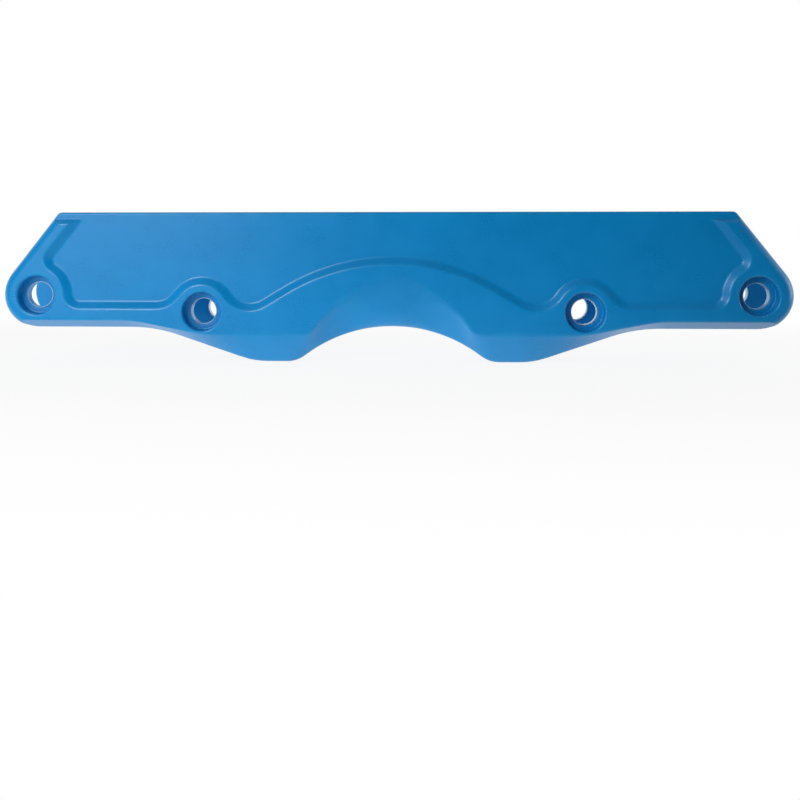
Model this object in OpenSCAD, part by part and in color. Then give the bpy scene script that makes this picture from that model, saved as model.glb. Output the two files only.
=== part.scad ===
// Two-bolt inline skate frame: one moulded body with two side walls, a wheel channel
// open at both ends, a grinding groove between the inner wheels and a recessed panel
// on each side, with a thin pressed-in sleeve in every axle hole.
// X runs along the frame, Y across it and Z up. The origin is the middle of the boot
// mounting plane, halfway between the two boot bolts. Sizes are in millimetres, and a
// depth is measured down from the boot mounting plane.

/* [Side walls] */
// Width over both side walls
outer_w = 46; // [44:0.5:52]
// Gap between the side walls, where the wheels run
channel_w = 28.2; // [26:0.2:30]
// Depth of the lowest points, under the two humps
frame_depth = 60; // [57:0.5:70]
// Length of the straight top edge
top_len = 269; // [256:0.2:272]
// Radius of the round ends about the outer axles
end_r = 14.1; // [11.5:0.05:15]
// Radius on the outer edge of the sloped and round ends
end_edge_r = 4.6; // [2:0.1:6]

/* [Axles] */
// Distance between the two outer axles
wheelbase = 285.3; // [278:0.1:294]
// Distance between the two inner axles
inner_span = 151.6; // [146:0.1:158]
// Depth of the outer axles
outer_axle_depth = 33.1; // [31:0.1:34]
// Depth of the inner axles
inner_axle_depth = 39.5; // [38:0.1:40]
// Inside diameter of the axle sleeves
axle_d = 10; // [8:0.1:10.6]
// Wall of the axle sleeves
sleeve_wall = 0.45; // [0.3:0.05:0.8]
// Radial clearance of the sleeves in the body
sleeve_fit = 0.02; // [0.01:0.01:0.05]
// Diameter of the pocket that takes an axle head
pocket_d = 15.5; // [14:0.1:16]
// Depth of the axle head pocket in the wall
pocket_depth = 5; // [3:0.1:6]

/* [Boot mount] */
// Distance between the two boot bolts
bolt_span = 167; // [160:0.5:174]
// Diameter of the boot bolt holes
bolt_d = 8; // [6:0.1:9]
// Diameter of the bolt head seat
seat_d = 14; // [12:0.1:15]
// Depth of the bolt head seat
seat_depth = 8; // [6:0.1:8.5]
// Length of the mount blocks at mid-width
block_len = 25.5; // [22:0.5:28]
// How far each block's middle lies inside its bolt
block_shift = 1.2; // [0:0.1:2]
// Depth of the mount blocks
block_depth = 14; // [12:0.5:16]
// Radius of the block's hollowed outer side
block_outer_r = 24.7; // [20:0.1:40]
// Radius of the block's hollowed inner side
block_inner_r = 32; // [20:0.5:45]
// Wheel clearance radius about the inner axles
wheel_clear_r = 30; // [29:0.5:30.5]

/* [Cross bars] */
// Distance of the cross bars from the middle
bar_x = 114.5; // [111:0.5:118]
// Length of the cross bars along the frame
bar_len = 6.6; // [4:0.1:9]
// Depth of the cross bars
bar_depth = 8; // [5:0.5:12]
// Radius where the cross bars flare into the walls
bar_flare_r = 4; // [1:0.5:6]

/* [Centre block] */
// Length of the centre block at mid-width
centre_len = 103.4; // [100:0.2:108]
// Radius of the centre block's corners at the walls
centre_corner_r = 9.3; // [3:0.1:12]
// Thickness of the centre block's skin over the groove
skin_t = 6; // [4:0.5:8]
// Thickness of the centre block's end walls
end_wall_t = 5; // [3:0.5:8]
// Thickness of the cross ribs in the centre block
rib_t = 4; // [2:0.5:6]
// Number of cross ribs in the centre block
rib_count = 3; // [1:1:5]
// Depth of the ribs' upper edge
rib_top = 6; // [2:0.5:12]

/* [Groove and humps] */
// Depth of the groove at its highest point
groove_depth = 45.7; // [44:0.1:48]
// Radius of the groove
groove_r = 58.5; // [56:0.5:64]
// Steepest angle of the groove's sides
groove_angle = 35.5; // [33:0.5:36]
// Radius of the humps' corners beside the groove
hump_corner_r = 12; // [6:0.5:12]
// Distance from the middle to the end of the humps' flat
hump_end = 56.5; // [54:0.5:60]
// Angle of the humps' outer slope
hump_angle = 19; // [17:0.5:22]
// Radius at the end of the humps' flat
hump_outer_r = 39; // [20:1:45]
// Radius where the slope meets the straight ends
hump_blend_r = 60; // [30:1:65]
// Depth of the straight lower edge near the ends
end_depth = 46.4; // [46:0.1:48]
// Width of the flat foot along the inside of each wall
foot_w = 0.8; // [0.4:0.1:2]
// Width across the groove's flat bottom at its highest point
groove_flat_w = 36; // [32:0.5:40]
// Half length of the stretch where the groove's bottom widens
groove_flat_len = 20; // [12:1:30]

/* [Lower bevel] */
// Depth of the bevel's upper edge over the groove
arch_depth = 32.8; // [31:0.1:36]
// Distance from the middle to the shoulder of that arch
arch_shoulder = 21; // [19:0.5:22]
// Radius of that shoulder
arch_r = 26; // [15:0.5:27]
// Angle of the arch's sides
arch_angle = 54; // [50:0.5:56]
// Radius at the foot of the arch
arch_foot_r = 6; // [2:0.5:7]
// Depth of the bevel's upper edge on the humps
band_depth = 48.6; // [48:0.1:50]
// Distance from the middle to where that edge turns up
band_end = 75; // [72:0.5:78]
// Angle of the rise to the ends
band_angle = 10.8; // [9:0.1:13]
// Radius at both ends of that rise
band_r = 60; // [20:1:70]
// Depth of the bevel's upper edge near the ends
end_band_depth = 43; // [42:0.1:44]

/* [Side panel] */
// Depth of the recessed panel below the rim face
recess = 2; // [1:0.1:2.4]
// Width of the slope from the panel to the rim
lip_w = 4; // [3:0.1:5]
// Depth of the panel's lower edge at the middle
panel_arch_depth = 17.4; // [15:0.1:20]
// Radius of the panel's lower edge at the middle
panel_arch_r = 84; // [60:1:95]
// Angle at which that edge falls towards the inner axles
panel_fall = 31; // [29:0.5:33]
// Radius of the dip beside the inner axles
dip_r = 9; // [5:0.5:9]
// Angle at which the edge climbs out of the dip
dip_climb = 56.7; // [52:0.1:60]
// Radius of the panel's edge round the inner axles
inner_ring_r = 14; // [13:0.1:15]
// Angle at which the edge falls beyond the inner axles
inner_ring_fall = 47; // [42:1:52]
// Depth of the panel's straight lower edge
panel_depth = 35.2; // [33:0.1:36]
// Radius where that edge leaves the inner axle
panel_foot_r = 7.6; // [3:0.1:9]
// Radius where that edge meets the outer axle
panel_corner_r = 3; // [1:0.5:4]
// Radius of the panel's edge round the outer axles
outer_ring_r = 14.6; // [14:0.1:15.5]
// Angle at which the edge leaves the outer axle
outer_ring_lead = 32; // [26:1:38]
// Radius of the panel's point above the outer axle
panel_point_r = 2; // [0.5:0.5:2.5]
// Width of the rim along the sloped end
slope_rim = 10.1; // [7.5:0.1:11]
// Depth where the rim ends below the top edge
rim_top = 2.6; // [1.5:0.1:4]
// Height of the rim's sloped top end
rim_top_slope = 2.3; // [1:0.1:4]
// How far the strip above the rim's end stands proud of the panel
rim_strip = 0.2; // [0.1:0.1:0.6]

/* [Hidden] */

wall_y = channel_w / 2;
outer_y = outer_w / 2;
wall_t = outer_y - wall_y;
panel_y = outer_y - recess;
foot_y = wall_y + foot_w;
outer_axle = [wheelbase / 2, -outer_axle_depth];
inner_axle = [inner_span / 2, -inner_axle_depth];
sleeve_d = axle_d + 2 * sleeve_wall;
sleeve_hole_d = sleeve_d + 2 * sleeve_fit;
sleeve_len = wall_t - pocket_depth;
half_len = wheelbase / 2 + end_r;
bolt_x = bolt_span / 2;
block_x = bolt_x - block_shift;
centre_x = centre_len / 2;

// How far cutting shapes run past the faces that they cut
over = 2;
// Greatest distance of a drawn arc from the true one
arc_error = 0.06;
// Steps round the edge radius of the ends and up the slope of the panel's lip
edge_steps = 3;
lip_steps = 5;
// Greatest station spacing along the lower edge
station = 3;
// Number of points on the top edge that the panel's faces are drawn from
hub_count = 9;
body_colour = [0.02, 0.42, 0.70];
sleeve_colour = [0.78, 0.80, 0.82];

$fn = 64;

function unit(angle) = [cos(angle), sin(angle)];
function heading(from, to) = atan2(to[1] - from[1], to[0] - from[0]);
function wrapped(angle) = angle > 180 ? angle - 360 : angle < -180 ? angle + 360 : angle;
function cross2(a, b) = a[0] * b[1] - a[1] * b[0];
function mirrored(points) = [for (i = [len(points) - 1:-1:0]) [-points[i][0], points[i][1]]];

// Point on a circle whose tangent has the given heading, with the circle on its right
function touch(centre, radius, angle) = centre + radius * unit(angle + 90);

// Where the line through p with heading a meets the line through q with heading b
function meet(p, a, q, b) = p + unit(a) * cross2(q - p, unit(b)) / cross2(unit(a), unit(b));

// Steps that keep a drawn arc close to the true one
function arc_steps(radius, turn) = ceil(abs(turn) / (2 * acos(1 - arc_error / radius)));

// Points [x, z, heading] round one corner of a chain of [corner, radius]
function corner_arc(before, corner, after, radius) =
    let (start = heading(before, corner),
         turn = wrapped(heading(corner, after) - start),
         side = sign(turn),
         first = corner - radius * tan(abs(turn) / 2) * unit(start),
         centre = first + side * radius * unit(start + 90),
         steps = arc_steps(radius, turn))
    [for (i = [0:steps])
        let (angle = start + turn * i / steps,
             point = centre - side * radius * unit(angle + 90))
        [point[0], point[1], angle]];

// Points without those that repeat the one before, as where two arcs touch
function apart(points) =
    [for (i = [0:len(points) - 1])
        let (step = i == 0 ? [arc_error, 0] : points[i] - points[i - 1])
        if (norm([step[0], step[1]]) > arc_error / 2) points[i]];

// A chain of [corner, radius] with every inner corner rounded
function rounded(chain) =
    let (last = len(chain) - 1,
         first_angle = heading(chain[0][0], chain[1][0]),
         last_angle = heading(chain[last - 1][0], chain[last][0]))
    apart(concat([[chain[0][0][0], chain[0][0][1], first_angle]],
                 [for (i = [1:last - 1])
                     each corner_arc(chain[i - 1][0], chain[i][0], chain[i + 1][0], chain[i][1])],
                 [[chain[last][0][0], chain[last][0][1], last_angle]]));

// Lower edge of the body across the channel and along the inside of the walls
groove_turn = [groove_r * tan(groove_angle / 2), -groove_depth];
hump_corner = meet(groove_turn, -groove_angle, [0, -frame_depth], 0);
hump_turn = [hump_end, -frame_depth];
end_turn = meet(hump_turn, hump_angle, [0, -end_depth], 0);
inner_edge = rounded([[[-over, -groove_depth], 0], [groove_turn, groove_r],
                      [hump_corner, hump_corner_r], [hump_turn, hump_outer_r],
                      [end_turn, hump_blend_r], [[half_len + over, -end_depth], 0]]);

// Upper edge of the bevel, on the outer face of the walls
arch_turn = [arch_shoulder, -arch_depth];
arch_foot = meet(arch_turn, -arch_angle, [0, -band_depth], 0);
band_turn = [band_end, -band_depth];
end_band_turn = meet(band_turn, band_angle, [0, -end_band_depth], 0);
outer_edge = rounded([[[-over, -arch_depth], 0], [arch_turn, arch_r],
                      [arch_foot, arch_foot_r], [band_turn, band_r],
                      [end_band_turn, band_r], [[half_len + over, -end_band_depth], 0]]);

function edge_z(edge, x) = lookup(abs(x), [for (p = edge) [p[0], p[1]]]);

// Half width of the flat bottom: it widens over the top of the groove
function flat_y(x) =
    foot_y + (groove_flat_w / 2 - foot_y) * (1 + cos(180 * min(1, abs(x) / groove_flat_len))) / 2;

// Lowest point of the body at a place on the plan
function low_z(x, y) =
    let (share = max(0, min(1, (y - flat_y(x)) / (outer_y - flat_y(x)))))
    edge_z(inner_edge, x) * (1 - share) + edge_z(outer_edge, x) * share;

// Sloped end: tangent from the end of the top edge to the round end
top_corner = [top_len / 2, 0];
slope_angle = heading(outer_axle, top_corner)
            - acos(end_r / norm(top_corner - outer_axle));
lower_r = end_depth - outer_axle_depth;
lower_steps = arc_steps(lower_r, 90);
upper_steps = arc_steps(end_r, slope_angle);
bottom_steps = ceil(outer_axle[0] / station);

// Distance of the end face from its full outline at a distance y from the middle
function end_inset(y) =
    y <= outer_y - end_edge_r ? 0
    : end_edge_r - sqrt(max(0, end_edge_r * end_edge_r - pow(y - outer_y + end_edge_r, 2)));

// Half outline of the body at a distance y from the middle, from below to the top
function half_section(y) =
    let (inset = end_inset(y), r = end_r - inset)
    concat([for (i = [0:bottom_steps - 1])
               let (x = outer_axle[0] * i / bottom_steps) [x, low_z(x, y)]],
           [for (i = [0:lower_steps - 1])
               let (angle = -90 + 90 * i / lower_steps,
                    x = outer_axle[0] + r * cos(angle),
                    z = outer_axle[1] + (lower_r - inset) * sin(angle))
               [x, max(z, low_z(x, y))]],
           [for (i = [0:upper_steps])
               outer_axle + r * unit(slope_angle * i / upper_steps)],
           [[top_corner[0] - inset / cos(slope_angle), 0], [0, 0]]);

// Whole outline, starting from the middle of the top edge, which sees all the rest
function section(y) =
    let (half = half_section(y),
         last = len(half) - 1,
         left = mirrored([for (i = [1:last - 1]) half[i]]),
         right = [for (i = [0:last - 1]) half[i]])
    [for (p = concat([half[last]], left, right)) [p[0], y, p[1]]];

function flipped(loop) = [for (p = loop) [p[0], -p[1], p[2]]];

// A face as it is seen from its other side
function turned(face) = concat([face[0]], [for (i = [len(face) - 1:-1:1]) face[i]]);

// Solid through a row of loops with as many points each, in order of rising y.
// end_faces holds the faces of the last loop, by their points' places in it.
module stack(loops, end_faces) {
    count = len(loops[0]);
    rows = len(loops);
    polyhedron(
        points = [for (loop = loops) each loop],
        faces = concat(
            [for (face = end_faces) turned(face)],
            [for (i = [0:rows - 2], j = [0:count - 1])
                let (a = i * count + j, b = i * count + (j + 1) % count)
                each [[a, b, b + count], [a, b + count, a + count]]],
            [for (face = end_faces) [for (j = face) (rows - 1) * count + j]]),
        convexity = 8);
}

// Full-width body with its bevels and rounded ends, before the hollows are cut
module blank() {
    edge_y = outer_y - end_edge_r;
    middle_y = (foot_y + edge_y) / 2;
    ys = concat([foot_y, middle_y],
                [for (i = [0:edge_steps]) edge_y + end_edge_r * sin(90 * i / edge_steps)]);
    half = [for (y = ys) section(y)];
    stack(concat([for (i = [len(half) - 1:-1:0]) flipped(half[i])], half),
          [[for (j = [0:len(half[0]) - 1]) j]]);
}

// Lower edge of the recessed panel, from above the top edge on one side to the other
climb_point = touch(inner_axle, inner_ring_r, dip_climb);
fall_point = touch(inner_axle, inner_ring_r, -inner_ring_fall);
corner_z = panel_corner_r - panel_depth;
corner_reach = sqrt(pow(outer_ring_r + panel_corner_r, 2) - pow(corner_z - outer_axle[1], 2));
ring_angle = heading(outer_axle, [outer_axle[0] - corner_reach, corner_z]) - 90;
ring_point = touch(outer_axle, outer_ring_r, ring_angle);
lead_point = touch(outer_axle, outer_ring_r, outer_ring_lead);
slope_point = top_corner - slope_rim * unit(slope_angle);
floor_line = [0, -panel_depth];
panel_crown = [0, panel_arch_r * (1 / cos(panel_fall) - 1) - panel_arch_depth];
panel_side = [
    [meet(panel_crown, -panel_fall, climb_point, dip_climb), dip_r],
    [meet(climb_point, dip_climb, fall_point, -inner_ring_fall), inner_ring_r],
    [meet(fall_point, -inner_ring_fall, floor_line, 0), panel_foot_r],
    [meet(floor_line, 0, ring_point, ring_angle), panel_corner_r],
    [meet(ring_point, ring_angle, lead_point, outer_ring_lead), outer_ring_r],
    [meet(lead_point, outer_ring_lead, slope_point, slope_angle + 90), panel_point_r],
    [meet(slope_point, slope_angle + 90, [0, over], 0), 0]];
panel_edge = rounded(concat(
    [for (i = [len(panel_side) - 1:-1:0])
        [[-panel_side[i][0][0], panel_side[i][0][1]], panel_side[i][1]]],
    [[panel_crown, panel_arch_r]],
    panel_side));
panel_points = len(panel_edge);
panel_reach = max([for (p = panel_edge) p[0]]);

// Points above the top edge that see the whole panel between them
hub_reach = panel_side[len(panel_side) - 1][0][0] - 2 * over;
hubs = [for (i = [0:hub_count - 1]) [hub_reach * (2 * i / (hub_count - 1) - 1), over]];

// The hub that a point of the panel's edge is drawn from
function hub_of(j) =
    j == 0 ? 0
    : j == panel_points - 1 ? hub_count - 1
    : round((panel_edge[j][0] / panel_reach + 1) / 2 * (hub_count - 1));
function hub_place(k) = panel_points + hub_count - 1 - k;

// Triangles of the panel's face, between its edge and the hubs
panel_faces = [for (j = [0:panel_points - 2])
    each concat([[j, j + 1, hub_place(hub_of(j + 1))]],
                [for (k = [hub_of(j):1:hub_of(j + 1) - 1])
                    [j, hub_place(k + 1), hub_place(k)]])];

// Loop of the panel's edge moved out by a distance, at a distance y from the middle
function panel_loop(out, y) =
    [for (p = concat([for (p = panel_edge) [p[0], p[1]] + out * unit(p[2] - 90)],
                     [for (k = [hub_count - 1:-1:0]) hubs[k]]))
        [p[0], y, p[1]]];

// Cutter for one recessed panel, with a soft S-shaped slope up to the rim
module panel_cut() {
    last_share = (lip_steps - 0.5) / lip_steps;
    rise = recess / (1 - cos(180 * last_share));
    levels = [for (i = [0:lip_steps - 1])
        let (share = last_share * i / (lip_steps - 1))
        [lip_w * share, panel_y + rise * (1 - cos(180 * share))]];
    stack(concat([for (level = levels) panel_loop(level[0], level[1])],
                 [panel_loop(lip_w + over, outer_y + over)]),
          panel_faces);
}

// Cutter that ends the rim below the top edge
module rim_end_cut() {
    strip_y = panel_y + rim_strip;
    reach = over * rim_top_slope / (outer_y - strip_y);
    rotate([90, 0, 90])
        linear_extrude(2 * half_len + 2 * over, center = true)
            polygon([[strip_y, over], [strip_y, -rim_top],
                     [outer_y + over, -rim_top - rim_top_slope - reach],
                     [outer_y + over, over]]);
}

// Plan of the wheel channel, from the centre block to beyond the end of the body
module channel_plan() {
    r = centre_corner_r;
    translate([centre_x + r, -wall_y]) square([half_len - centre_x, channel_w]);
    translate([centre_x, r - wall_y]) square([2 * r, channel_w - 2 * r]);
    for (side = [-1, 1])
        translate([centre_x + r, side * (wall_y - r)]) circle(r);
}

// Mount block: hollowed sides on the plan and room for the wheel underneath
module mount_block() {
    difference() {
        translate([0, 0, -block_depth])
            linear_extrude(block_depth + 2 * over)
                difference() {
                    translate([block_x, 0])
                        square([2 * block_len, channel_w + 2 * over], center = true);
                    translate([block_x + block_len / 2 + block_outer_r, 0]) circle(block_outer_r);
                    translate([block_x - block_len / 2 - block_inner_r, 0]) circle(block_inner_r);
                }
        translate([inner_axle[0], 0, inner_axle[1]])
            rotate([90, 0, 0])
                cylinder(r = wheel_clear_r, h = outer_w, center = true);
    }
}

// Cross bar between the walls, flared towards the end of the frame
module cross_bar() {
    r = bar_flare_r;
    translate([bar_x, 0, -bar_depth])
        linear_extrude(bar_depth + 2 * over) {
            square([bar_len, channel_w + 2 * over], center = true);
            for (side = [-1, 1])
                difference() {
                    translate([bar_len / 2 + r / 2, side * (wall_y + over - (over + r) / 2)])
                        square([r, over + r], center = true);
                    translate([bar_len / 2 + r, side * (wall_y - r)]) circle(r);
                }
        }
}

// Open space between the walls on one side of the centre block
module wheel_space() {
    difference() {
        translate([0, 0, -frame_depth - over])
            linear_extrude(frame_depth + 2 * over) channel_plan();
        mount_block();
        cross_bar();
    }
}

// Pockets in the top of the centre block, with cross ribs left between them
module centre_pockets() {
    inner_x = centre_x - end_wall_t;
    pitch = 2 * inner_x / (rib_count + 1);
    xs = [for (i = [0:ceil(2 * inner_x / station)]) min(inner_x, i * station - inner_x)];
    difference() {
        rotate([90, 0, 0])
            linear_extrude(channel_w, center = true)
                polygon(concat([for (x = xs) [x, edge_z(inner_edge, x) + skin_t]],
                               [[inner_x, over], [-inner_x, over]]));
        for (i = [1:rib_count])
            translate([i * pitch - inner_x, 0, -frame_depth / 2 - rib_top])
                cube([rib_t, outer_w, frame_depth], center = true);
    }
}

// Axle hole through both walls, with a pocket for an axle head in each outer face
module axle_cut(axle) {
    translate([axle[0], 0, axle[1]]) {
        rotate([90, 0, 0]) cylinder(d = sleeve_hole_d, h = outer_w + 2 * over, center = true);
        for (side = [-1, 1])
            translate([0, side * (outer_y - pocket_depth), 0])
                rotate([-side * 90, 0, 0]) cylinder(d = pocket_d, h = pocket_depth + over);
    }
}

// Boot bolt hole with a seat for the bolt head underneath
module bolt_cut() {
    translate([bolt_x, 0, -block_depth - over]) {
        cylinder(d = bolt_d, h = block_depth + 2 * over);
        cylinder(d = seat_d, h = block_depth + over - seat_depth);
    }
}

// One-piece moulded body
module frame_body() {
    color(body_colour)
        difference() {
            blank();
            for (side = [0, 1])
                mirror([0, side, 0]) {
                    panel_cut();
                    rim_end_cut();
                }
            for (end = [0, 1])
                mirror([end, 0, 0]) {
                    wheel_space();
                    axle_cut(outer_axle);
                    axle_cut(inner_axle);
                    bolt_cut();
                }
            centre_pockets();
        }
}

// Thin sleeve in the wall of one axle hole: end is 1 at the front, side is 1 on the left
module axle_sleeve(axle, end, side) {
    color(sleeve_colour)
        translate([end * axle[0], side * (wall_y + sleeve_len / 2), axle[1]])
            rotate([90, 0, 0])
                difference() {
                    cylinder(d = sleeve_d, h = sleeve_len, center = true);
                    cylinder(d = axle_d, h = sleeve_len + over, center = true);
                }
}

module sleeve_front_outer_left() { axle_sleeve(outer_axle, 1, 1); }
module sleeve_front_outer_right() { axle_sleeve(outer_axle, 1, -1); }
module sleeve_front_inner_left() { axle_sleeve(inner_axle, 1, 1); }
module sleeve_front_inner_right() { axle_sleeve(inner_axle, 1, -1); }
module sleeve_rear_inner_left() { axle_sleeve(inner_axle, -1, 1); }
module sleeve_rear_inner_right() { axle_sleeve(inner_axle, -1, -1); }
module sleeve_rear_outer_left() { axle_sleeve(outer_axle, -1, 1); }
module sleeve_rear_outer_right() { axle_sleeve(outer_axle, -1, -1); }

frame_body();
sleeve_front_outer_left();
sleeve_front_outer_right();
sleeve_front_inner_left();
sleeve_front_inner_right();
sleeve_rear_inner_left();
sleeve_rear_inner_right();
sleeve_rear_outer_left();
sleeve_rear_outer_right();
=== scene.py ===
"""Looks of a moulded two-bolt inline skate frame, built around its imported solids.

The body is drawn again from its own sizes as one soft-edged moulding, and every axle
hole gets a turned sleeve. Sizes are in millimetres in the model's own axes: X along the
frame, Y across it and Z up, with the origin in the middle of the boot mounting plane.
"""

import functools
import logging
import math
from dataclasses import dataclass, field
from enum import Enum
from typing import Any, Callable, Sequence

import bpy
import numpy as np
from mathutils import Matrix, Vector


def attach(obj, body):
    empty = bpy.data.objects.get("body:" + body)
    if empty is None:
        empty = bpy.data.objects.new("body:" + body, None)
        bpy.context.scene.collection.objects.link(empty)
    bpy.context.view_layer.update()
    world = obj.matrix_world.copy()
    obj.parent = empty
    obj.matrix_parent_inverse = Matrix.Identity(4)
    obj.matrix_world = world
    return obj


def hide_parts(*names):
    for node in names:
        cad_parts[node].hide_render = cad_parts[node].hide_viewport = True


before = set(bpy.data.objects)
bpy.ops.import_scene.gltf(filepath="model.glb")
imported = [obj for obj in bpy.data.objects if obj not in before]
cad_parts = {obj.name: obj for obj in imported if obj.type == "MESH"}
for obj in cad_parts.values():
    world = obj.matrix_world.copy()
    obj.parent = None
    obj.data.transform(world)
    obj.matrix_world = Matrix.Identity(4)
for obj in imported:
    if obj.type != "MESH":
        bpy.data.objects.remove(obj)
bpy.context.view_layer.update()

log = logging.getLogger("skate_frame")

MM = 0.001
EPSILON = 1e-6
ARC_STEP = 0.2
SLOPE_STEP = 0.05
FAR = 400.0
BODY = "root"

Array = np.ndarray
Point = tuple[float, float]
Span = tuple[float, float]
Spot = tuple[float, float, float]
Colour = tuple[float, float, float]


class End(Enum):
    """The two ends of the frame, with their direction along X."""

    FRONT = 1
    REAR = -1


class Side(Enum):
    """The two side walls, with their direction along Y."""

    LEFT = 1
    RIGHT = -1


class Slot(Enum):
    """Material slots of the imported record."""

    PLASTIC = "moulded_blue"
    METAL = "sleeve_metal"


def meet(p: Point, a: float, q: Point, b: float) -> Point:
    """Find where two lines in the side plane cross.

    Args:
        p: A point of the first line.
        a: The first line's heading in degrees.
        q: A point of the second line.
        b: The second line's heading in degrees.

    Returns:
        The crossing point.
    """
    ax, az = math.cos(math.radians(a)), math.sin(math.radians(a))
    bx, bz = math.cos(math.radians(b)), math.sin(math.radians(b))
    along = ((q[0] - p[0]) * bz - (q[1] - p[1]) * bx) / (ax * bz - az * bx)
    return p[0] + along * ax, p[1] + along * az


def touch(centre: Point, radius: float, angle: float) -> Point:
    """Find the point of a circle where a line of a given heading touches it.

    Args:
        centre: The circle's centre.
        radius: The circle's radius.
        angle: The line's heading in degrees, with the circle on its right.

    Returns:
        The touching point.
    """
    turn = math.radians(angle + 90)
    return centre[0] + radius * math.cos(turn), centre[1] + radius * math.sin(turn)


def round_meet(a: Array, b: Array, radius: Array | float) -> Array:
    """Keep what two solids share, with the edge between them rounded.

    Args:
        a: Distances from the first solid, negative inside.
        b: Distances from the second solid.
        radius: Radius of the edge.

    Returns:
        Distances from the shared solid.
    """
    reach = np.hypot(np.maximum(radius + a, 0), np.maximum(radius + b, 0))
    return np.minimum(np.maximum(a, b), -radius) + reach


def round_join(a: Array, b: Array, radius: Array | float) -> Array:
    """Join two solids with a fillet of a given radius, as round_meet does for edges."""
    return -round_meet(-a, -b, radius)


def round_cut(a: Array, tool: Array, radius: float) -> Array:
    """Cut a tool out of a solid and round the edge it leaves."""
    return round_meet(a, -tool, radius)


def smooth_step(t: Array) -> Array:
    """Rise from 0 to 1 as t does, level at both ends."""
    t = np.clip(t, 0, 1)
    return t * t * (3 - 2 * t)


def eased_ramp(t: Array, ease: float) -> Array:
    """Rise evenly from 0 to 1 as t does, rounded over a share of the way at both ends.

    Args:
        t: How far along the ramp each place lies.
        ease: The share of the ramp that each rounding takes.

    Returns:
        The heights.
    """
    t = np.clip(t, 0, 1)
    foot = np.minimum(t, ease)
    crown = np.minimum(1 - t, ease)
    bend = (ease - foot) ** 2 - (ease - crown) ** 2
    return (t - ease / 2 + bend / (2 * ease)) / (1 - ease)


@dataclass(frozen=True)
class Run:
    """A straight run of a line in the side plane."""

    start: Point
    angle: float
    length: float

    def distance(self, x: Array, z: Array) -> Array:
        """Measure how far points lie to the right of the run.

        Args:
            x: Places along the frame.
            z: Heights.

        Returns:
            The distances, infinite beyond the run's ends.
        """
        along_x, along_z = math.cos(self.angle), math.sin(self.angle)
        along = (x - self.start[0]) * along_x + (z - self.start[1]) * along_z
        aside = (x - self.start[0]) * along_z - (z - self.start[1]) * along_x
        return np.where((along >= -EPSILON) & (along <= self.length + EPSILON), aside, np.inf)

    def points(self) -> list[Point]:
        """Give the two ends of the run."""
        end_x = self.start[0] + self.length * math.cos(self.angle)
        return [self.start, (end_x, self.start[1] + self.length * math.sin(self.angle))]


@dataclass(frozen=True)
class Arc:
    """A round corner of a line in the side plane."""

    centre: Point
    radius: float
    angle: float
    turn: float

    def distance(self, x: Array, z: Array) -> Array:
        """Measure how far points lie to the right of the arc.

        Args:
            x: Places along the frame.
            z: Heights.

        Returns:
            The distances, infinite beyond the arc's ends.
        """
        hand = math.copysign(1, self.turn)
        swept = (np.arctan2(z - self.centre[1], x - self.centre[0]) - self.first_angle) * hand
        swept = (swept + math.pi) % (2 * math.pi) - math.pi
        aside = hand * (np.hypot(x - self.centre[0], z - self.centre[1]) - self.radius)
        within = (swept >= -EPSILON) & (swept <= abs(self.turn) + EPSILON)
        return np.where(within, aside, np.inf)

    @property
    def first_angle(self) -> float:
        """Angle of the arc's first point about its centre."""
        return self.angle - math.copysign(math.pi / 2, self.turn)

    def points(self) -> list[Point]:
        """Walk along the arc in short steps.

        Returns:
            Points close enough to draw it smoothly.
        """
        steps = max(2, math.ceil(abs(self.turn) * self.radius / ARC_STEP))
        angles = [self.first_angle + self.turn * i / steps for i in range(steps + 1)]
        return [(self.centre[0] + self.radius * math.cos(a),
                 self.centre[1] + self.radius * math.sin(a)) for a in angles]


class Line:
    """A line of straight runs and round corners in the side plane, drawn towards +X."""

    def __init__(self, corners: Sequence[tuple[Point, float]]) -> None:
        """Round every inner corner and keep the runs and arcs.

        Args:
            corners: Each corner's point and radius. The two ends carry on straight.
        """
        spots = [corner[0] for corner in corners]
        angles = [math.atan2(q[1] - p[1], q[0] - p[0]) for p, q in zip(spots, spots[1:])]
        first = (spots[0][0] - FAR * math.cos(angles[0]), spots[0][1] - FAR * math.sin(angles[0]))
        self.pieces: list[Run | Arc] = []
        for (corner, radius), before, after in zip(corners[1:-1], angles, angles[1:]):
            turn = (after - before + math.pi) % (2 * math.pi) - math.pi
            reach = radius * math.tan(abs(turn) / 2)
            hand = math.copysign(radius, turn)
            enter = (corner[0] - reach * math.cos(before), corner[1] - reach * math.sin(before))
            centre = (enter[0] - hand * math.sin(before), enter[1] + hand * math.cos(before))
            self.pieces.append(Run(first, before, math.dist(first, enter)))
            self.pieces.append(Arc(centre, radius, before, turn))
            first = (corner[0] + reach * math.cos(after), corner[1] + reach * math.sin(after))
        self.pieces.append(Run(first, angles[-1], FAR))
        self.samples = np.array([point for piece in self.pieces for point in piece.points()])

    def distance(self, x: Array, z: Array) -> Array:
        """Measure points' distances from the line, positive on its right.

        Args:
            x: Places along the frame.
            z: Heights.

        Returns:
            The distances.
        """
        best = np.full(np.broadcast_shapes(x.shape, z.shape), np.inf)
        for piece in self.pieces:
            found = piece.distance(x, z)
            best = np.where(np.abs(found) < np.abs(best), found, best)
        return best

    def height(self, x: Array) -> Array:
        """Give the line's height at places along the frame."""
        return np.interp(x, self.samples[:, 0], self.samples[:, 1])


@dataclass(frozen=True)
class Walls:
    """Overall sizes of the two side walls."""

    outer_y: float = 23.0
    wall_y: float = 14.1
    depth: float = 60.0
    top_half: float = 134.5
    end_r: float = 14.1
    end_edge_r: float = 4.6
    end_depth: float = 46.4
    top_edge_r: float = 0.8
    inner_edge_r: float = 0.6


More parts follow.
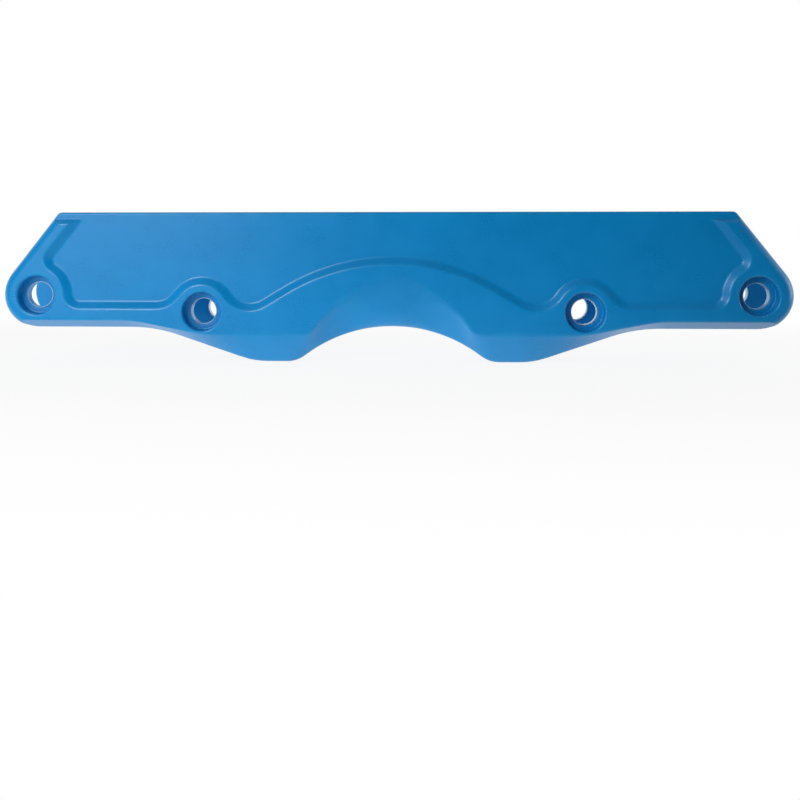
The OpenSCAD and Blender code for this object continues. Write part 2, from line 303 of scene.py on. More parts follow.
@dataclass(frozen=True)
class Axles:
    """The four axle positions, their holes and the pockets for the axle heads."""

    outer: Point = (142.65, -33.1)
    inner: Point = (75.8, -39.5)
    hole_r: float = 5.47
    pocket_r: float = 7.75
    pocket_depth: float = 5.0
    pocket_edge_r: float = 0.7
    pocket_floor_r: float = 0.6
    hole_edge_r: float = 0.3

    def cut(self, body: Array, x: Array, y: Array, z: Array, walls: Walls) -> Array:
        """Cut the holes and pockets.

        Args:
            body: Distances from the body so far.
            x: Places along the frame, on its positive half.
            y: Places across the frame, on its positive half.
            z: Heights.
            walls: The side walls' sizes.

        Returns:
            Distances from the cut body.
        """
        floor = walls.outer_y - self.pocket_depth - y
        for axle in (self.outer, self.inner):
            radial = np.hypot(x - axle[0], z - axle[1])
            pocket = round_meet(radial - self.pocket_r, floor, self.pocket_floor_r)
            body = round_cut(body, pocket, self.pocket_edge_r)
            body = round_cut(body, radial - self.hole_r, self.hole_edge_r)
        return body


@dataclass(frozen=True)
class LowerEdge:
    """The groove, the humps and the bevel along the foot of the walls."""

    groove_depth: float = 45.7
    groove_r: float = 58.5
    groove_angle: float = 35.5
    hump_corner_r: float = 12.0
    hump_end: float = 56.5
    hump_angle: float = 19.0
    hump_outer_r: float = 39.0
    hump_blend_r: float = 60.0
    foot_w: float = 0.8
    groove_flat_w: float = 36.0
    groove_flat_len: float = 20.0
    arch_depth: float = 32.8
    arch_shoulder: float = 21.0
    arch_r: float = 26.0
    arch_angle: float = 54.0
    arch_foot_r: float = 6.0
    band_depth: float = 48.6
    band_end: float = 75.0
    band_angle: float = 10.8
    band_r: float = 60.0
    end_band_depth: float = 43.0
    bevel_edge_r: float = 0.6
    arch_edge_r: float = 3.5
    arch_soft_len: float = 24.0
    crease: float = 0.12
    groove_crease: float = 0.7
    walls: Walls = field(default_factory=Walls)

    @functools.cached_property
    def inner_line(self) -> Line:
        """Draw the lower edge across the channel and along the inside of the walls.

        Returns:
            The line, from the middle of the frame to its end.
        """
        turn_x = self.groove_r * math.tan(math.radians(self.groove_angle / 2))
        groove_turn = (turn_x, -self.groove_depth)
        hump_corner = meet(groove_turn, -self.groove_angle, (0, -self.walls.depth), 0)
        hump_turn = (self.hump_end, -self.walls.depth)
        end_turn = meet(hump_turn, self.hump_angle, (0, -self.walls.end_depth), 0)
        return Line([((0, -self.groove_depth), 0), (groove_turn, self.groove_r),
                     (hump_corner, self.hump_corner_r), (hump_turn, self.hump_outer_r),
                     (end_turn, self.hump_blend_r), ((FAR, -self.walls.end_depth), 0)])

    @functools.cached_property
    def outer_line(self) -> Line:
        """Draw the upper edge of the bevel, on the outer face of the walls.

        Returns:
            The line, from the middle of the frame to its end.
        """
        arch_turn = (self.arch_shoulder, -self.arch_depth)
        arch_foot = meet(arch_turn, -self.arch_angle, (0, -self.band_depth), 0)
        band_turn = (self.band_end, -self.band_depth)
        end_turn = meet(band_turn, self.band_angle, (0, -self.end_band_depth), 0)
        return Line([((0, -self.arch_depth), 0), (arch_turn, self.arch_r),
                     (arch_foot, self.arch_foot_r), (band_turn, self.band_r),
                     (end_turn, self.band_r), ((FAR, -self.end_band_depth), 0)])

    def level(self, x: Array, y: Array) -> Array:
        """Find the lowest height of the body at places on the plan.

        Args:
            x: Places along the frame.
            y: Places across the frame.

        Returns:
            The heights, with the creases of the bevel rolled.
        """
        foot_y = self.walls.wall_y + self.foot_w
        swell = (1 + np.cos(math.pi * np.minimum(1, x / self.groove_flat_len))) / 2
        flat_y = foot_y + (self.groove_flat_w / 2 - foot_y) * swell
        share = (y - flat_y) / (self.walls.outer_y - flat_y)
        crease = self.crease + (self.groove_crease - self.crease) * swell
        bend = np.maximum(crease - np.abs(share), 0) / crease
        share = np.maximum(share, 0) + bend * bend * crease / 4
        return self.inner_line.height(x) * (1 - share) + self.outer_line.height(x) * share

    def edge_radius(self, x: Array) -> Array:
        """Give the radius of the bevel's upper edge, which is soft over the groove."""
        share = smooth_step(1 - x / self.arch_soft_len)
        return self.bevel_edge_r + (self.arch_edge_r - self.bevel_edge_r) * share

    def distance(self, x: Array, y: Array, z: Array) -> Array:
        """Measure how far points lie below the lower edge's surface.

        Args:
            x: Places along the frame.
            y: Places across the frame.
            z: Heights.

        Returns:
            The distances, negative above it.
        """
        step = SLOPE_STEP
        low = self.level(x, y)
        slope_x = (self.level(x + step, y) - self.level(np.abs(x - step), y)) / (2 * step)
        slope_y = (self.level(x, y + step) - self.level(x, np.abs(y - step))) / (2 * step)
        return (low - z) / np.sqrt(1 + slope_x ** 2 + slope_y ** 2)


@dataclass(frozen=True)
class SidePanel:
    """The recessed panel in the outer face of each wall, and the rim around it."""

    recess: float = 2.0
    lip_w: float = 4.0
    lip_ease: float = 0.3
    arch_depth: float = 17.4
    arch_r: float = 84.0
    fall: float = 31.0
    dip_r: float = 9.0
    dip_climb: float = 56.7
    inner_ring_r: float = 14.0
    inner_ring_fall: float = 47.0
    depth: float = 35.2
    foot_r: float = 7.6
    corner_r: float = 3.0
    outer_ring_r: float = 14.6
    outer_ring_lead: float = 32.0
    point_r: float = 2.0
    slope_rim: float = 10.1
    rim_top: float = 2.6
    rim_top_slope: float = 2.3
    walls: Walls = field(default_factory=Walls)
    axles: Axles = field(default_factory=Axles)

    @functools.cached_property
    def slope_angle(self) -> float:
        """Direction in degrees in which the sloped end faces."""
        dx, dz = self.walls.top_half - self.axles.outer[0], -self.axles.outer[1]
        return math.degrees(math.atan2(dz, dx) - math.acos(self.walls.end_r / math.hypot(dx, dz)))

    @functools.cached_property
    def edge(self) -> Line:
        """Draw the lower edge of the panel.

        Returns:
            The line, from the middle of the frame to the top of its end.
        """
        floor = (0, -self.depth)
        crown = (0, self.arch_r * (1 / math.cos(math.radians(self.fall)) - 1) - self.arch_depth)
        climb = touch(self.axles.inner, self.inner_ring_r, self.dip_climb)
        fall = touch(self.axles.inner, self.inner_ring_r, -self.inner_ring_fall)
        corner_z = self.corner_r - self.depth
        rise = corner_z - self.axles.outer[1]
        reach = math.sqrt((self.outer_ring_r + self.corner_r) ** 2 - rise ** 2)
        ring_angle = math.degrees(math.atan2(rise, -reach)) - 90
        ring = touch(self.axles.outer, self.outer_ring_r, ring_angle)
        lead = touch(self.axles.outer, self.outer_ring_r, self.outer_ring_lead)
        facing = math.radians(self.slope_angle)
        slope = (self.walls.top_half - self.slope_rim * math.cos(facing),
                 -self.slope_rim * math.sin(facing))
        up = self.slope_angle + 90
        return Line([
            (meet(crown, self.fall, (-FAR / 4, 0), 90), 0),
            (crown, self.arch_r),
            (meet(crown, -self.fall, climb, self.dip_climb), self.dip_r),
            (meet(climb, self.dip_climb, fall, -self.inner_ring_fall), self.inner_ring_r),
            (meet(fall, -self.inner_ring_fall, floor, 0), self.foot_r),
            (meet(floor, 0, ring, ring_angle), self.corner_r),
            (meet(ring, ring_angle, lead, self.outer_ring_lead), self.outer_ring_r),
            (meet(lead, self.outer_ring_lead, slope, up), self.point_r),
            (meet(slope, up, (0, FAR / 4), 0), 0)])

    def face(self, x: Array, z: Array) -> Array:
        """Find how far out the wall's outer face lies at places on the side.

        Args:
            x: Places along the frame.
            z: Heights.

        Returns:
            The places across the frame.
        """
        lip = eased_ramp(self.edge.distance(x, z) / self.lip_w, self.lip_ease)
        panel = self.walls.outer_y - self.recess * (1 - lip)
        strip_y = self.walls.outer_y - self.recess
        rise = smooth_step((-self.rim_top - z) / self.rim_top_slope)
        rim = strip_y + (self.walls.outer_y - strip_y) * rise
        return np.minimum(panel, rim)

    def distance(self, x: Array, y: Array, z: Array) -> Array:
        """Measure how far points lie outside the wall's outer face.

        Args:
            x: Places along the frame.
            y: Places across the frame.
            z: Heights.

        Returns:
            The distances, negative inside.
        """
        step = SLOPE_STEP
        slope_x = (self.face(x + step, z) - self.face(x - step, z)) / (2 * step)
        slope_z = (self.face(x, z + step) - self.face(x, z - step)) / (2 * step)
        return (y - self.face(x, z)) / np.sqrt(1 + slope_x ** 2 + slope_z ** 2)


@dataclass(frozen=True)
class BootMount:
    """The mount blocks between the walls and the boot bolt holes in them."""

    bolt_x: float = 83.5
    bolt_r: float = 4.0
    seat_r: float = 7.0
    seat_depth: float = 8.0
    block_len: float = 25.5
    block_shift: float = 1.2
    block_depth: float = 14.0
    block_outer_r: float = 24.7
    block_inner_r: float = 32.0
    wheel_clear_r: float = 30.0
    edge_r: float = 1.0
    fillet_r: float = 1.5
    hole_edge_r: float = 0.4
    axles: Axles = field(default_factory=Axles)

    def distance(self, x: Array, y: Array, z: Array) -> Array:
        """Measure distances from the mount block.

        Args:
            x: Places along the frame.
            y: Places across the frame.
            z: Heights.

        Returns:
            The distances, negative inside.
        """
        middle = self.bolt_x - self.block_shift
        outer_x = middle + self.block_len / 2 + self.block_outer_r
        inner_x = middle - self.block_len / 2 - self.block_inner_r
        sides = np.maximum(self.block_outer_r - np.hypot(x - outer_x, y),
                           self.block_inner_r - np.hypot(x - inner_x, y))
        sides = np.maximum(sides, np.abs(x - middle) - self.block_len)
        wheel = self.wheel_clear_r - np.hypot(x - self.axles.inner[0], z - self.axles.inner[1])
        under = np.maximum(wheel, -self.block_depth - z)
        return round_meet(sides, under, self.edge_r)

    def drill(self, body: Array, x: Array, y: Array, z: Array) -> Array:
        """Cut the bolt hole and the seat for the bolt head.

        Args:
            body: Distances from the body so far.
            x: Places along the frame.
            y: Places across the frame.
            z: Heights.

        Returns:
            Distances from the cut body.
        """
        radial = np.hypot(x - self.bolt_x, y)
        seat = np.maximum(radial - self.seat_r, z + self.seat_depth)
        body = round_cut(body, seat, self.hole_edge_r)
        return round_cut(body, radial - self.bolt_r, self.hole_edge_r)


@dataclass(frozen=True)
class CrossBar:
    """The cross bars near the ends of the wheel channel."""

    middle: float = 114.5
    length: float = 6.6
    depth: float = 8.0
    flare_r: float = 4.0
    fillet_r: float = 1.2
    edge_r: float = 1.2

    def distance(self, x: Array, z: Array) -> Array:
        """Measure distances from the bar, as if it ran through the walls."""
        return round_meet(np.abs(x - self.middle) - self.length / 2, -self.depth - z, self.edge_r)

    def fillet(self, x: Array) -> Array:
        """Give the radius at the walls, which is larger towards the frame's end."""
        share = smooth_step((x - self.middle) / self.length + 0.5)
        return self.fillet_r + (self.flare_r - self.fillet_r) * share


@dataclass(frozen=True)
class CentreBlock:
    """The block between the walls over the groove, hollowed from above."""

    half_len: float = 51.7
    corner_r: float = 9.3
    skin_t: float = 6.0
    end_wall_t: float = 5.0
    rib_t: float = 4.0
    rib_count: int = 3
    rib_top: float = 6.0
    inner_r: float = 2.0
    edge_r: float = 0.8
    floor_lean: float = 20.0
    walls: Walls = field(default_factory=Walls)
    lower: LowerEdge = field(default_factory=LowerEdge)

    def channel(self, x: Array, y: Array) -> Array:
        """Measure distances from the wheel channel on the plan.

        Args:
            x: Places along the frame.
            y: Places across the frame.

        Returns:
            The distances, negative inside.
        """
        over_x = self.half_len + self.corner_r - x
        over_y = y - self.walls.wall_y + self.corner_r
        outside = np.hypot(np.maximum(over_x, 0), np.maximum(over_y, 0))
        return outside + np.minimum(np.maximum(over_x, over_y), 0) - self.corner_r

    def hollow(self, body: Array, x: Array, y: Array, z: Array) -> Array:
        """Cut the pockets from above and leave the ribs between them.

        Args:
            body: Distances from the body so far.
            x: Places along the frame, on its positive half.
            y: Places across the frame, on its positive half.
            z: Heights.

        Returns:
            Distances from the cut body.
        """
        inner_x = self.half_len - self.end_wall_t
        pitch = 2 * inner_x / (self.rib_count + 1)
        plan = round_meet(x - inner_x, y - self.walls.wall_y, self.inner_r)
        floor_z = self.lower.inner_line.height(x) + self.skin_t
        floor = (floor_z - z) * math.cos(math.radians(self.floor_lean))
        pocket = round_meet(plan, floor, self.inner_r)
        for place in range(self.rib_count // 2 + 1):
            rib = np.maximum(np.abs(x - place * pitch) - self.rib_t / 2, z + self.rib_top)
            pocket = round_cut(pocket, rib, self.inner_r)
        return round_cut(body, pocket, self.edge_r)


@dataclass(frozen=True)
class Skin:
    """A closed surface: points in millimetres, faces and each point's normal and edge wear."""

    points: Array
    faces: Array
    normals: Array
    wear: Array


class SurfaceNet:
    """Faces over the zero level of a field that is sampled on a regular grid."""

    def __init__(self, solid: Callable[[Array, Array, Array], Array], low: Array, high: Array,
                 step: float) -> None:
        """Sample the field.

        Args:
            solid: Gives distances from the solid at points, negative inside.
            low: The grid's lowest corner.
            high: The grid's highest corner, or a little less.
            step: The grid's spacing.
        """
        self.low = low
        self.step = step
        axes = [np.arange(a, b + step, step) for a, b in zip(low, high)]
        self.values = solid(axes[0][:, None, None], axes[1][None, :, None], axes[2][None, None, :])
        self.cells = np.array(self.values.shape) - 1

    def build(self) -> tuple[Array, Array]:
        """Make one point in every cell that the surface passes and join them.

        Returns:
            The points, and the faces of four points each.
        """
        total = np.zeros((np.prod(self.cells), 3))
        count = np.zeros(np.prod(self.cells))
        quads = []
        for axis in range(3):
            lower = np.moveaxis(self.values, axis, 0)[:-1]
            upper = np.moveaxis(self.values, axis, 0)[1:]
            spots = np.argwhere((lower < 0) != (upper < 0))
            at = tuple(spots.T)
            share = lower[at] / (lower[at] - upper[at])
            inside_first = lower[at] < 0
            node = self.unturned(spots, axis)
            place = node.astype(float)
            place[:, axis] += share
            around = [self.cell(node, axis, du, dv) for du, dv in ((1, 1), (0, 1), (0, 0), (1, 0))]
            for cell in around:
                real = cell >= 0
                for part in range(3):
                    total[:, part] += np.bincount(cell[real], place[real, part], len(count))
                count += np.bincount(cell[real], minlength=len(count))
            quad = np.stack(around, axis=1)
            quad[~inside_first] = quad[~inside_first][:, ::-1]
            quads.append(quad[(quad >= 0).all(axis=1)])
        used = np.flatnonzero(count)
        number = np.full(len(count), -1)
        number[used] = np.arange(len(used))
        points = self.low + total[used] / count[used, None] * self.step
        return points, number[np.concatenate(quads)]

    @staticmethod
    def unturned(spots: Array, axis: int) -> Array:
        """Put grid places found with one axis in front back in the order of the axes."""
        order = [axis] + [a for a in range(3) if a != axis]
        return spots[:, np.argsort(order)]

    def cell(self, node: Array, axis: int, du: int, dv: int) -> Array:
        """Number the cells beside grid edges.

        Args:
            node: The edges' lower grid places.
            axis: The axis that the edges run along.
            du: 1 for the cell before the edge along the next axis, else 0.
            dv: 1 for the cell before the edge along the axis after that, else 0.

        Returns:
            The cells' numbers, or -1 outside the grid.
        """
        place = node.copy()
        place[:, (axis + 1) % 3] -= du
        place[:, (axis + 2) % 3] -= dv
        real = ((place >= 0) & (place < self.cells)).all(axis=1)
        number = np.ravel_multi_index(np.maximum(place, 0).T, self.cells, mode="clip")
        return np.where(real, number, -1)


@dataclass
class MouldedBody:
    """The one-piece moulded body: both walls, the centre block, the mounts and the bars."""

    grid_step: float = 0.55
    kept_share: float = 0.27
    slope_step: float = 0.02
    least_slope: float = 0.2
    first_rounds: int = 4
    last_rounds: int = 3
    bend_step: float = 0.4
    wear_r: float = 2.2
    walls: Walls = field(default_factory=Walls)
    axles: Axles = field(default_factory=Axles)
    lower: LowerEdge = field(default_factory=LowerEdge)
    panel: SidePanel = field(default_factory=SidePanel)
    mount: BootMount = field(default_factory=BootMount)
    bar: CrossBar = field(default_factory=CrossBar)
    centre: CentreBlock = field(default_factory=CentreBlock)

    def end_distance(self, x: Array, z: Array) -> Array:
        """Measure how far points lie beyond the sloped and round end.

        Args:
            x: Places along the frame.
            z: Heights.

        Returns:
            The distances, negative inside.
        """
        facing = math.radians(self.panel.slope_angle)
        dx, dz = x - self.axles.outer[0], z - self.axles.outer[1]
        slope = dx * math.cos(facing) + dz * math.sin(facing) - self.walls.end_r
        lower_r = self.walls.end_depth + self.axles.outer[1]
        below = np.where(dz < 0, dz * self.walls.end_r / lower_r, dz)
        nose = np.hypot(dx, below) - self.walls.end_r
        round_part = (dx >= 0) & (np.arctan2(dz, dx) <= facing)
        return np.where(round_part, nose, slope)

    def distance(self, x: Array, y: Array, z: Array) -> Array:
        """Measure distances from the body.

        Args:
            x: Places along the frame.
            y: Places across the frame.
            z: Heights.

        Returns:
            The distances, negative inside.
        """
        x, y = np.abs(x), np.abs(y)
        flat = y - self.walls.outer_y
        ends = round_meet(self.end_distance(x, z), flat, self.walls.end_edge_r)
        bevel = round_meet(self.lower.distance(x, y, z), flat, self.lower.edge_radius(x))
        shell = np.maximum(np.maximum(ends, bevel), self.panel.distance(x, y, z))
        shell = round_meet(shell, z, self.walls.top_edge_r)
        members = round_join(-self.centre.channel(x, y), self.mount.distance(x, y, z),
                             self.mount.fillet_r)
        members = round_join(members, self.bar.distance(x, z), self.bar.fillet(x))
        body = round_meet(shell, members, self.walls.inner_edge_r)
        body = self.centre.hollow(body, x, y, z)
        body = self.mount.drill(body, x, y, z)
        return self.axles.cut(body, x, y, z, self.walls)

    def slope(self, points: Array) -> Array:
        """Give the direction in which the distance grows fastest at points."""
        steps = np.eye(3) * self.slope_step
        return np.stack([self.distance(*(points + step).T) - self.distance(*(points - step).T)
                         for step in steps], axis=1) / (2 * self.slope_step)

    def settle(self, points: Array, rounds: int) -> Array:
        """Move points onto the surface.

        Args:
            points: Points near the surface.
            rounds: How often to correct them.

        Returns:
            The moved points.
        """
        for _ in range(rounds):
            slope = self.slope(points)
            steep = np.maximum((slope ** 2).sum(axis=1), self.least_slope)
            reach = self.distance(*points.T) / steep
            points = points - slope * np.clip(reach, -self.grid_step, self.grid_step)[:, None]
        return points

    def wear(self, points: Array) -> Array:
        """Find how far edges stand out at points of the surface.

        Args:
            points: Points of the surface.

        Returns:
            The wear that the edges take, from 0 to 1.
        """
        steps = np.concatenate([np.eye(3), -np.eye(3)]) * self.bend_step
        around = sum(self.distance(*(points + step).T) for step in steps)
        bend = (around - len(steps) * self.distance(*points.T)) / self.bend_step ** 2
        return np.clip(bend * self.wear_r / 2, 0, 1)

    def quarter(self) -> tuple[Array, Array]:
        """Make the surface of a quarter of the body, with fewer faces where it is flat.

        Returns:
            The points, and the faces of three points each.
        """
        half = self.grid_step / 2
        low = np.array([-half, -half, -self.walls.depth - self.grid_step])
        end_x = self.axles.outer[0] + self.walls.end_r
        high = np.array([end_x, self.walls.outer_y, 0]) + self.grid_step
        points, quads = SurfaceNet(self.distance, low, high, self.grid_step).build()
        points = self.settle(points, self.first_rounds)
        fine = bpy.data.meshes.new("fine_quarter")
        fine.from_pydata((points * MM).tolist(), [], quads.tolist())
        carrier = bpy.data.objects.new("fine_quarter", fine)
        bpy.context.scene.collection.objects.link(carrier)
        thin = carrier.modifiers.new("thin", "DECIMATE")
        thin.ratio = self.kept_share
        thin.use_collapse_triangulate = True
        graph = bpy.context.evaluated_depsgraph_get()
        lean = bpy.data.meshes.new_from_object(carrier.evaluated_get(graph))
        points = np.array([v.co for v in lean.vertices]) / MM
        faces = np.array([p.vertices for p in lean.polygons])
        bpy.data.objects.remove(carrier)
        bpy.data.meshes.remove(fine)
        bpy.data.meshes.remove(lean)
        return points, faces

    def skin(self) -> Skin:
        """Make the whole surface from four mirrored quarters.

        Returns:
            The surface, with its normals and edge wear.
        """
        points, faces = self.quarter()
        seam = self.grid_step / 4
        for axis in (0, 1):
            points[np.abs(points[:, axis]) < seam, axis] = 0
        points = self.settle(points, self.last_rounds)
        for axis in (0, 1):
            mirror = np.ones(3)
            mirror[axis] = -1
            twin = np.where(points[:, axis] == 0, np.arange(len(points)), -1)
            apart = np.flatnonzero(twin < 0)
            twin[apart] = len(points) + np.arange(len(apart))
            faces = np.concatenate([faces, twin[faces][:, ::-1]])
            points = np.concatenate([points, points[apart] * mirror])
        normals = self.slope(points)
        normals /= np.maximum(np.linalg.norm(normals, axis=1), EPSILON)[:, None]
        return Skin(points, faces, normals, self.wear(points))

    def build(self, finish: "MouldedNylon") -> bpy.types.Object:
        """Make the body's piece and dress it.

        Args:
            finish: The body's finish.

        Returns:
            The piece, riding on the frame.
        """
        skin = self.skin()
        mesh = bpy.data.meshes.new("moulded_body")
        mesh.from_pydata((skin.points * MM).tolist(), [], skin.faces.tolist())
        mesh.polygons.foreach_set("use_smooth", np.ones(len(mesh.polygons), bool))
        wear = mesh.attributes.new(finish.wear_name, "FLOAT", "POINT")
        wear.data.foreach_set("value", skin.wear.astype(np.float32))
        mesh.normals_split_custom_set_from_vertices(skin.normals.tolist())
        mesh.materials.append(finish.build())
        piece = bpy.data.objects.new("moulded_body", mesh)
        bpy.context.scene.collection.objects.link(piece)
        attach(piece, BODY)
        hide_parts("frame_body")
        return piece


@dataclass
class AxleSleeves:
    """Thin turned sleeves, one in each wall at every axle."""

    bore_r: float = 5.0
    outer_r: float = 5.45
    first_y: float = 14.1
    length: float = 3.9
    chamfer: float = 0.18
    segments: int = 96
    sharp_angle: float = 30.0
    axles: Axles = field(default_factory=Axles)

    def profile(self) -> list[Point]:
        """Give the sleeve's section as radius and distance from the channel's face."""
        c = self.chamfer
        return [(self.bore_r + c, 0), (self.outer_r - c, 0), (self.outer_r, c),
                (self.outer_r, self.length - c), (self.outer_r - c, self.length),
                (self.bore_r + c, self.length), (self.bore_r, self.length - c), (self.bore_r, c)]

    def build(self, finish: "TurnedMetal") -> list[bpy.types.Object]:
        """Make every sleeve's piece and dress it.

        Args:
            finish: The sleeves' finish.

        Returns:
            The pieces, riding on the frame.
        """
        material = finish.build()
        pieces = []
        for end in End:
            for place, axle in (("outer", self.axles.outer), ("inner", self.axles.inner)):
                for side in Side:
                    name = f"{end.name}_{place}_{side.name}".lower()
                    mesh = self.ring(name, axle, end, side)
                    mesh.materials.append(material)
                    piece = bpy.data.objects.new(f"turned_sleeve_{name}", mesh)
                    bpy.context.scene.collection.objects.link(piece)
                    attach(piece, BODY)
                    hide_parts(f"sleeve_{name}")
                    pieces.append(piece)
        return pieces

    def ring(self, name: str, axle: Point, end: End, side: Side) -> bpy.types.Mesh:
        """Turn one sleeve about its axle.

        Args:
            name: The mesh's name.
            axle: The axle's place along the frame and its height.
            end: The end of the frame.
            side: The side wall.

        Returns:
            The sleeve's mesh.
        """
        section = self.profile()
        rows = len(section)
        points = []
        for step in range(self.segments):
            turn = 2 * math.pi * step / self.segments
            for radius, along in section:
                points.append(((end.value * axle[0] + radius * math.cos(turn)) * MM,
                               side.value * (self.first_y + along) * MM,
                               (axle[1] + radius * math.sin(turn)) * MM))
        faces = []
        for step in range(self.segments):
            after = (step + 1) % self.segments
            for row in range(rows):
                far = (row + 1) % rows
                face = [step * rows + row, after * rows + row,
                        after * rows + far, step * rows + far]
                faces.append(face[::-side.value])
        mesh = bpy.data.meshes.new(name)
        mesh.from_pydata(points, [], faces)
        mesh.polygons.foreach_set("use_smooth", np.ones(len(mesh.polygons), bool))
        mesh.set_sharp_from_angle(angle=math.radians(self.sharp_angle))
        return mesh


class Flow:
    """A value on its way through a shader, with Python's operators as Math nodes."""

    def __init__(self, shader: "Shader", socket: bpy.types.NodeSocket) -> None:
        """Wrap an output socket of a shader's node."""
        self.shader = shader
        self.socket = socket

    def math(self, operation: str, *values: Any) -> "Flow":
        """Add a Math node.

        Args:
            operation: The node's operation.
            values: Its inputs, as flows or numbers.

        Returns:
            The node's result.
        """
        return self.shader.flow("ShaderNodeMath", {"operation": operation},
                                dict(enumerate(values)))

    def __add__(self, other: Any) -> "Flow":
        """Add another value."""
        return self.math("ADD", self, other)

    __radd__ = __add__

    def __sub__(self, other: Any) -> "Flow":
        """Take another value away."""
        return self.math("SUBTRACT", self, other)

    def __rsub__(self, other: Any) -> "Flow":
        """Take this value away from a number."""
        return self.math("SUBTRACT", other, self)

    def __mul__(self, other: Any) -> "Flow":
        """Multiply by another value."""
        return self.math("MULTIPLY", self, other)

    __rmul__ = __mul__

    def between(self, low: float, high: float) -> "Flow":
        """Rise smoothly from 0 at low to 1 at high."""
        return self.shader.flow("ShaderNodeMapRange", {"interpolation_type": "SMOOTHSTEP"},
                                {"Value": self, "From Min": low, "From Max": high})


class Shader:
    """A material's or world's nodes."""

    def __init__(self, owner: bpy.types.Material | bpy.types.World) -> None:
        """Clear the owner's nodes and start anew.

        Args:
            owner: The material or world.
        """
        owner.use_nodes = True
        self.tree = owner.node_tree
        self.tree.nodes.clear()

    def node(self, kind: str, settings: dict[str, Any],
             sockets: dict[str | int, Any]) -> bpy.types.Node:
        """Add a node.

        Args:
            kind: The node's type.
            settings: Properties that are set first.
            sockets: Values, sockets or flows for its inputs, by name or place.

        Returns:
            The node.
        """
        made = self.tree.nodes.new(kind)
        for name, value in settings.items():
            setattr(made, name, value)
        for key, value in sockets.items():
            socket = made.inputs[key] if isinstance(key, int) else self.named(made.inputs, key)
            if isinstance(value, Flow):
                self.tree.links.new(value.socket, socket)
            elif isinstance(value, bpy.types.NodeSocket):
                self.tree.links.new(value, socket)
            else:
                socket.default_value = value
        return made

    @staticmethod
    def named(sockets: Any, key: str) -> bpy.types.NodeSocket:
        """Find a socket by its identifier, or else by its name."""
        return next((s for s in sockets if s.identifier == key), None) or sockets[key]

    def flow(self, kind: str, settings: dict[str, Any], sockets: dict[str | int, Any],
             output: str | int = 0) -> Flow:
        """Add a node and wrap one of its outputs.

        Args:
            kind: The node's type.
            settings: Properties that are set first.
            sockets: Values, sockets or flows for its inputs, by name or place.
            output: The output's name or place.

        Returns:
            The output.
        """
        outputs = self.node(kind, settings, sockets).outputs
        found = outputs[output] if isinstance(output, int) else self.named(outputs, output)
        return Flow(self, found)

    def place(self, scale: Spot = (1, 1, 1)) -> Flow:
        """Give places on the object in metres, stretched by a scale."""
        coordinates = self.flow("ShaderNodeTexCoord", {}, {}, "Object")
        return self.flow("ShaderNodeMapping", {}, {"Vector": coordinates, "Scale": scale})

    def noise(self, size_mm: float, detail: float, rough: float = 0.5,
              stretch: Spot = (1, 1, 1)) -> Flow:
        """Add noise with features of a given size.

        Args:
            size_mm: The features' size in millimetres.
            detail: How many finer layers it has.
            rough: How strong the finer layers are.
            stretch: How much each axis is squeezed.

        Returns:
            The noise, from 0 to 1.
        """
        return self.flow("ShaderNodeTexNoise", {},
                         {"Vector": self.place(stretch), "Scale": 1 / (size_mm * MM),
                          "Detail": detail, "Roughness": rough})

    def blend(self, share: Flow | float, first: Any, second: Any) -> Flow:
        """Mix two colours by a share."""
        sockets = {"Factor_Float": share, "A_Color": first, "B_Color": second}
        return self.flow("ShaderNodeMix", {"data_type": "RGBA"}, sockets, "Result_Color")

    def bump(self, height: Flow, depth_mm: float, strength: float,
             below: Flow | None = None) -> Flow:
        """Turn a height into a bent normal.

        Args:
            height: The height, from 0 to 1.
            depth_mm: The depth that 1 stands for.
            strength: The bump's strength.
            below: A bent normal to add to.

        Returns:
            The bent normal.
        """
        sockets = {"Height": height, "Distance": depth_mm * MM, "Strength": strength}
        if below is not None:
            sockets["Normal"] = below
        return self.flow("ShaderNodeBump", {}, sockets)

    def surface(self, sockets: dict[str | int, Any]) -> None:
        """Finish a material with one Principled shader."""
        shader = self.flow("ShaderNodeBsdfPrincipled", {}, sockets)
        self.node("ShaderNodeOutputMaterial", {}, {"Surface": shader})


def opaque(colour: Colour) -> tuple[float, float, float, float]:
    """Give a colour with full alpha."""
    return (*colour, 1.0)


